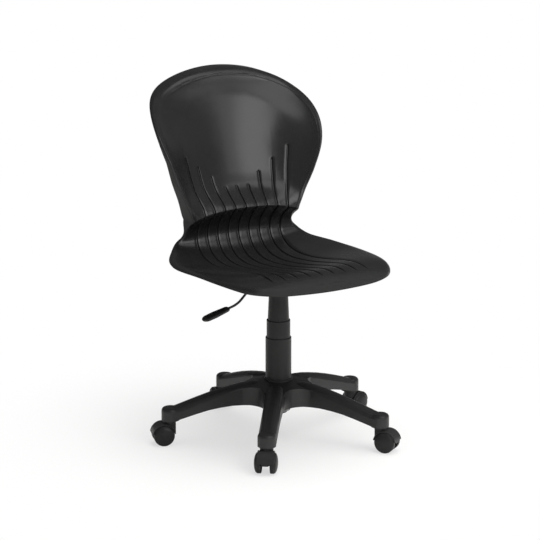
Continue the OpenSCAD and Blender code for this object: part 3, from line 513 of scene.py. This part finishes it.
def front_face(skin, inner):
    """The grooved face. Returns the loop round it."""
    start = skin.add(middle_point(0))[0]
    front = []
    for t in inner:
        columns = row_of_columns(t)
        values = row_at(t)
        u = columns[:, 0] / values[WIDTH]
        ts = np.full(len(u), t)
        surface = skin_point(ts, u)
        depth = columns[:, 1] - border_relief(surface, values[PLACE])
        front.append(skin.add(surface - skin_normal(ts, u) * depth[:, None]))
    end = skin.add(middle_point(LAST))[0]
    skin.fan(start, front[0])
    for a, b in zip(front, front[1:]):
        skin.join(a, b)
    skin.fan(end, front[-1][::-1])
    return edge_of(start, front, end)


def edge_section(out, deep):
    """Steps of the rolled edge as (sideways, rearwards): the roll, the wall and the rounded free edge."""
    roll = np.minimum(RIM_ROLL, deep * ROLL_SHARE)
    inner_end = np.maximum(roll, SHELL_T)
    round_angles = np.linspace(0, math.pi / 2, LIP_POINTS)
    steps = [(out * math.sin(a), roll * (1 - math.cos(a)))
             for a in np.linspace(0, math.pi / 2, ROLL_POINTS)[1:]]
    steps += [(out, roll + (deep - LIP_R - roll) * share) for share in WALL_SHARES]
    steps += [(out - LIP_R + LIP_R * math.cos(a), deep - LIP_R + LIP_R * math.sin(a)) for a in round_angles]
    steps += [(out - SHELL_T + LIP_R - LIP_R * math.sin(a), deep - LIP_R + LIP_R * math.cos(a))
              for a in round_angles]
    steps += [(out - SHELL_T, deep - LIP_R + (inner_end - deep + LIP_R) * share) for share in INNER_SHARES]
    return steps


def rolled_edge(skin, inner, edge):
    """The edge that rolls back from the loop round the front face. Returns its last ring."""
    t_loop = np.concatenate([[0], inner, [LAST], inner[::-1]])
    u_loop = np.concatenate([[1], np.ones(len(inner)), [1], -np.ones(len(inner))])
    loop = skin_point(t_loop, u_loop)
    normal = skin_normal(t_loop, np.where((t_loop == 0) | (t_loop == LAST), 0, u_loop))
    tangent = unit(np.roll(loop, -1, 0) - np.roll(loop, 1, 0))
    side = unit(np.cross(tangent, normal))
    values = row_at(t_loop)[..., None]
    angle = np.radians(values[:, RIM_ANGLE])
    rear = np.concatenate([np.zeros_like(angle), np.cos(angle), -np.sin(angle)], 1)
    previous = edge
    for sideways, rearwards in edge_section(values[:, RIM_OUT], values[:, RIM_BACK]):
        ring = skin.add(loop + side * sideways + rear * rearwards)
        skin.join(ring, previous, closed=True)
        previous = ring
    return previous


def rear_face(skin, inner):
    """The plain face behind. Returns the loop round it."""
    us = np.linspace(-1, 1, REAR_COLUMNS)
    start = skin.add(rear_middle_point(0))[0]
    rear = []
    for t in inner:
        ts = np.full(len(us), t)
        rear.append(skin.add(skin_point(ts, us) - skin_normal(ts, us) * SHELL_T))
    end = skin.add(rear_middle_point(LAST))[0]
    skin.fan(start, rear[0][::-1])
    for a, b in zip(rear, rear[1:]):
        skin.join(b, a)
    skin.fan(end, rear[-1])
    return edge_of(start, rear, end)


def seat_shell():
    skin = Skin()
    inner = np.linspace(0, LAST, LAST * STEPS + 1)[1:-1]
    last_ring = rolled_edge(skin, inner, front_face(skin, inner))
    skin.join(rear_face(skin, inner), last_ring, closed=True)
    make_piece("shell_skin", skin.points, skin.faces, "shell_plastic", "seat", "seat_shell")


# Bosses under the seat, each with a rounded lower end
BOSS_L, BOSS_SIDES = 12, 48
BORE_CLEARANCE = 0.02
# The rounding's points, as distances in from the boss's side and up from its end
BOSS_ROUND = [(0.6, 0), (0.2, 0.2), (0, 0.6)]


def shell_bosses():
    """Tubes that hold the threaded inserts, turned about the four bolts."""
    outer, bore = BOSS_D / 2, INSERT_D / 2 + BORE_CLEARANCE
    profile = [(bore, 0)] + [(outer - x, z) for x, z in BOSS_ROUND] + [(outer, BOSS_L), (bore, BOSS_L)]
    skin = Skin()
    for x, y in ((-1, -1), (-1, 1), (1, -1), (1, 1)):
        rings = []
        for k in range(BOSS_SIDES):
            a = 2 * math.pi * k / BOSS_SIDES
            rings.append(skin.add([
                (x * BOLT_DX / 2 + r * math.cos(a), y * BOLT_DY / 2 + r * math.sin(a), BOSS_Z + z)
                for r, z in profile]))
        for a, b in zip(rings, rings[1:] + rings[:1]):
            skin.join(b, a, closed=True)
    make_piece("shell_bosses", skin.points, skin.faces, "shell_plastic", "seat")


seat_shell()
shell_bosses()

# CAD nodes that keep their shape get their finish
node_slots = {
    part["node"]: part.get("material_slot")
    for part in frame["record"].get("subparts", []) if part.get("node")}
for node_name, node in frame["nodes"].items():
    slot = node_slots.get(node_name)
    if slot in finishes:
        node.data.materials.clear()
        node.data.materials.append(finishes[slot])

# Studio, in metres
FLOOR_HALF = 40.0
# Distances from the chair between which the floor turns to plain white, and its share of white. The
# camera sees it white from the far one on, and the chair mirrors it as plain paper up to the near one.
WHITE_NEAR, WHITE_FAR, WHITE_AT_CHAIR = 0.2, 0.85, 0.62
MIRRORED_NEAR, MIRRORED_FAR, MIRRORED_SHARE = 2.0, 7.0, 0.3
# The walls: where they rise from the floor, where they meet the ceiling and where they turn from the
# front to the back, as shares of the direction looked in. Their greys, and the grey round them.
FOOT, TOP, REARWARDS = (0.03, 0.14), (0.3, 0.8), (0.1, 0.8)
PLAIN_GREY, GREY_IN_FRONT, GREY_BEHIND = 0.15, 0.27, 0.07


def studio_floor():
    """A floor that is white to the eye and keeps the chair's soft shadow."""
    corners = [(x * FLOOR_HALF, y * FLOOR_HALF, 0) for x, y in ((-1, -1), (1, -1), (1, 1), (-1, 1))]
    paper_tones = grey(0.9, warmth=0.014), grey(0.92, warmth=0.014)
    mesh = bpy.data.meshes.new("floor")
    mesh.from_pydata(corners, [], [(0, 1, 2, 3)])
    floor = bpy.data.objects.new("floor", mesh)
    bpy.context.scene.collection.objects.link(floor)
    f = Finish("studio_floor")
    seen = f.node("ShaderNodeLightPath", output="Is Camera Ray")
    glossy = f.node("ShaderNodeLightPath", output="Is Glossy Ray")
    through = f.node("ShaderNodeLightPath", output="Is Transmission Ray")
    distance = f.node("ShaderNodeVectorMath", {"operation": "LENGTH"}, {0: f.place()}, "Value")
    paper = f.mix_colour(f.noise(scale=900), *paper_tones)
    matt = f.node("ShaderNodeBsdfDiffuse", {}, {"Color": paper})
    white = f.node("ShaderNodeEmission", {}, {"Color": grey(1), "Strength": 1.0})
    share_seen = seen * distance.between(WHITE_NEAR, WHITE_FAR, WHITE_AT_CHAIR, 1.0)
    share_mirrored = (glossy + through) * distance.between(MIRRORED_NEAR, MIRRORED_FAR, 0.0, MIRRORED_SHARE)
    surface = f.node("ShaderNodeMixShader", {}, {0: share_seen + share_mirrored, 1: matt, 2: white})
    f.node("ShaderNodeOutputMaterial", {}, {"Surface": surface})
    mesh.materials.append(f.material)


def studio_world():
    """Dim grey walls round the chair, white where the camera sees them."""
    world = bpy.data.worlds.new("studio")
    bpy.context.scene.world = world
    world.use_nodes = True
    f = Finish("studio", world.node_tree)
    direction = f.node("ShaderNodeTexCoord", output="Generated")
    height = f.part_of(direction, "Z")
    behind = f.part_of(direction, "Y").between(*REARWARDS)
    wall = f.mix_colour(behind, grey(GREY_IN_FRONT), grey(GREY_BEHIND))
    wall_on_floor = f.mix_colour(height.between(*FOOT), grey(PLAIN_GREY), wall)
    surround = f.mix_colour(height.between(*TOP), wall_on_floor, grey(PLAIN_GREY))
    seen = f.node("ShaderNodeLightPath", output="Is Camera Ray")
    background = f.node("ShaderNodeBackground", {}, {
        "Color": f.mix_colour(seen, surround, grey(1.0)), "Strength": 1.0})
    f.node("ShaderNodeOutputWorld", {}, {"Surface": background})


def softbox(name, place, aim, width, height, watts, mirrored=True):
    """A rectangular lamp that faces its aim. The chair's surfaces mirror it where that is wanted."""
    lamp = bpy.data.lights.new(name, "AREA")
    lamp.shape = "RECTANGLE"
    lamp.size = width
    lamp.size_y = height
    lamp.energy = watts
    box = bpy.data.objects.new(name, lamp)
    box.location = place
    box.rotation_euler = (Vector(aim) - Vector(place)).to_track_quat("-Z", "Y").to_euler()
    box.visible_glossy = mirrored
    bpy.context.scene.collection.objects.link(box)


studio_floor()
studio_world()
softbox("front_box", place=(0.78, -4.11, 2.12), aim=(0.02, 0.01, 0.4), width=3.0, height=2.35, watts=63)
softbox("high_box", place=(0.65, -2.22, 3.5), aim=(0, 0.2, 0.65), width=2.8, height=1.6, watts=25)
softbox("top_box", place=(0.5, -0.2, 3.2), aim=(0, 0, 0.2), width=3.0, height=3.0, watts=112,
        mirrored=False)

# Camera at the photograph's angle: turn and rise about the chair, distance and shifts in millimetres,
# pixels for a millimetre at the chair, and the picture's and the sensor's width
TURN, RAISED = math.radians(-30), math.radians(14.55)
DISTANCE, SHIFT_X, SHIFT_Z = 7700, -20.8, 413.7
SCALE, FRAME_PX, SENSOR = 0.4024, 540, 36
NEAREST, FARTHEST = 0.1, 100


def studio_camera():
    level = math.cos(RAISED)
    back = Vector((math.sin(TURN) * level, -math.cos(TURN) * level, math.sin(RAISED)))
    right = Vector((math.cos(TURN), math.sin(TURN), 0))
    up = back.cross(right)
    lens = bpy.data.cameras.new("camera")
    lens.sensor_fit = "HORIZONTAL"
    lens.sensor_width = SENSOR
    lens.lens = SCALE * DISTANCE * SENSOR / FRAME_PX
    lens.clip_start = NEAREST
    lens.clip_end = FARTHEST
    camera = bpy.data.objects.new("camera", lens)
    camera.location = (back * DISTANCE + right * SHIFT_X + up * SHIFT_Z) * MM
    camera.rotation_euler = back.to_track_quat("Z", "Y").to_euler()
    bpy.context.scene.collection.objects.link(camera)
    bpy.context.scene.camera = camera


studio_camera()
bpy.context.scene.view_settings.view_transform = "Standard"
